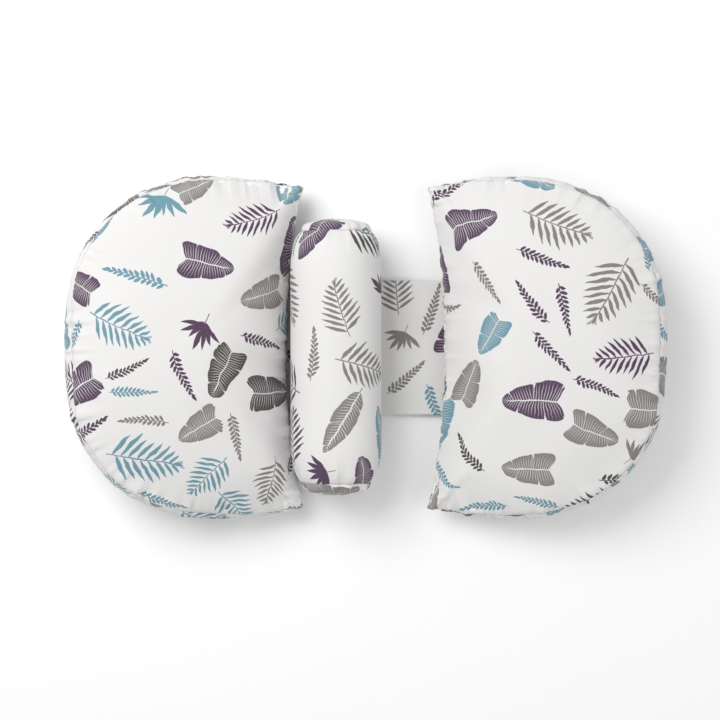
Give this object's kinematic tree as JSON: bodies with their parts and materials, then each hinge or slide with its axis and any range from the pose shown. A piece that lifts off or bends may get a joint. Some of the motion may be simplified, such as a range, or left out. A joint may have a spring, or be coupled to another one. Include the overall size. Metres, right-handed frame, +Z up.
{
  "type": "nursing pillow",
  "caption": "Side-sleeper support pillow: D-shaped cushions joined by an adjustable flat strap, with a loose bolster between them, in leaf-printed cotton.",
  "frame": {"origin": "on the surface it lies on, in the middle of the whole pillow", "axes": "+X from the left cushion to the right one, +Y along the cushions' straight sides, +Z up"},
  "size_m": [0.696, 0.4, 0.118],
  "materials": {
    "printed_cotton": "soft matt cotton, off-white with a printed leaf pattern",
    "liner_cloth": "thin plain non-woven liner",
    "fibre_filling": "loose hollow polyester fibre",
    "zip_tape": "woven polyester tape",
    "zip_nylon": "nylon coil, satin",
    "zip_slider": "enamelled zinc, satin",
    "hook_tape": "nylon hooks on woven tape",
    "loop_tape": "brushed nylon loop pile"
  },
  "bodies": {
    "left_cushion": {"left_top_panel": "printed_cotton", "left_bottom_panel": "printed_cotton", "left_gusset": "printed_cotton", "left_liner": "liner_cloth", "left_filling": "fibre_filling", "left_zipper_tapes": "zip_tape", "left_zipper_teeth": "zip_nylon", "left_zipper_stops": "zip_nylon"},
    "left_zipper_slider": {"left_zipper_slider": "zip_slider"},
    "left_zipper_pull": {"left_zipper_pull": "zip_slider"},
    "right_cushion": {"right_top_panel": "printed_cotton", "right_bottom_panel": "printed_cotton", "right_gusset": "printed_cotton", "right_liner": "liner_cloth", "right_filling": "fibre_filling", "right_zipper_tapes": "zip_tape", "right_zipper_teeth": "zip_nylon", "right_zipper_stops": "zip_nylon"},
    "right_zipper_slider": {"right_zipper_slider": "zip_slider"},
    "right_zipper_pull": {"right_zipper_pull": "zip_slider"},
    "left_strap": {"left_strap_lining": "printed_cotton", "left_strap_face": "printed_cotton", "strap_loop_tape": "loop_tape"},
    "right_strap": {"right_strap_lining": "printed_cotton", "right_strap_face": "printed_cotton", "strap_hook_tape": "hook_tape"},
    "bolster": {"bolster_sleeve": "printed_cotton", "bolster_back_end_panel": "printed_cotton", "bolster_front_end_panel": "printed_cotton", "bolster_liner": "liner_cloth", "bolster_filling": "fibre_filling", "bolster_zipper_tapes": "zip_tape", "bolster_zipper_teeth": "zip_nylon", "bolster_zipper_stops": "zip_nylon"},
    "bolster_zipper_slider": {"bolster_zipper_slider": "zip_slider"},
    "bolster_zipper_pull": {"bolster_zipper_pull": "zip_slider"}
  },
  "joints": [
    {"name": "left_fold", "type": "hinge", "parent": "left_cushion", "child": "left_strap", "pos_m": [-0.12647, 0, 0.002], "axis": [0, 1, 0], "range_deg": [0, 90]},
    {"name": "strap_reach", "type": "slide", "parent": "left_strap", "child": "right_strap", "axis": [1, 0, 0], "range_m": [-0.02, 0.05]},
    {"name": "right_fold", "type": "hinge", "parent": "right_strap", "child": "right_cushion", "pos_m": [0.11888, 0, 0.0063], "axis": [0, 1, 0], "range_deg": [-12, 90]},
    {"name": "bolster_lift", "type": "slide", "parent": "left_strap", "child": "bolster", "axis": [0, 0, 1], "range_m": [0, 0.15]},
    {"name": "left_zipper_slide", "type": "slide", "parent": "left_cushion", "child": "left_zipper_slider", "axis": [0, -1, 0], "range_m": [0, 0.288]},
    {"name": "left_pull_swing", "type": "hinge", "parent": "left_zipper_slider", "child": "left_zipper_pull", "pos_m": [-0.10139, 0.144, 0.01012], "axis": [0.87, 0, 0.493], "range_deg": [0, 180]},
    {"name": "right_zipper_slide", "type": "slide", "parent": "right_cushion", "child": "right_zipper_slider", "axis": [0, 1, 0], "range_m": [0, 0.288]},
    {"name": "right_pull_swing", "type": "hinge", "parent": "right_zipper_slider", "child": "right_zipper_pull", "pos_m": [0.10139, -0.144, 0.01012], "axis": [-0.87, 0, 0.493], "range_deg": [0, 180]},
    {"name": "bolster_zipper_slide", "type": "slide", "parent": "bolster", "child": "bolster_zipper_slider", "axis": [0, -1, 0], "range_m": [0, 0.208]},
    {"name": "bolster_pull_swing", "type": "hinge", "parent": "bolster_zipper_slider", "child": "bolster_zipper_pull", "pos_m": [0.01639, 0.093, 0.02895], "axis": [0.5, 0, 0.866], "range_deg": [0, 180]}
  ]
}
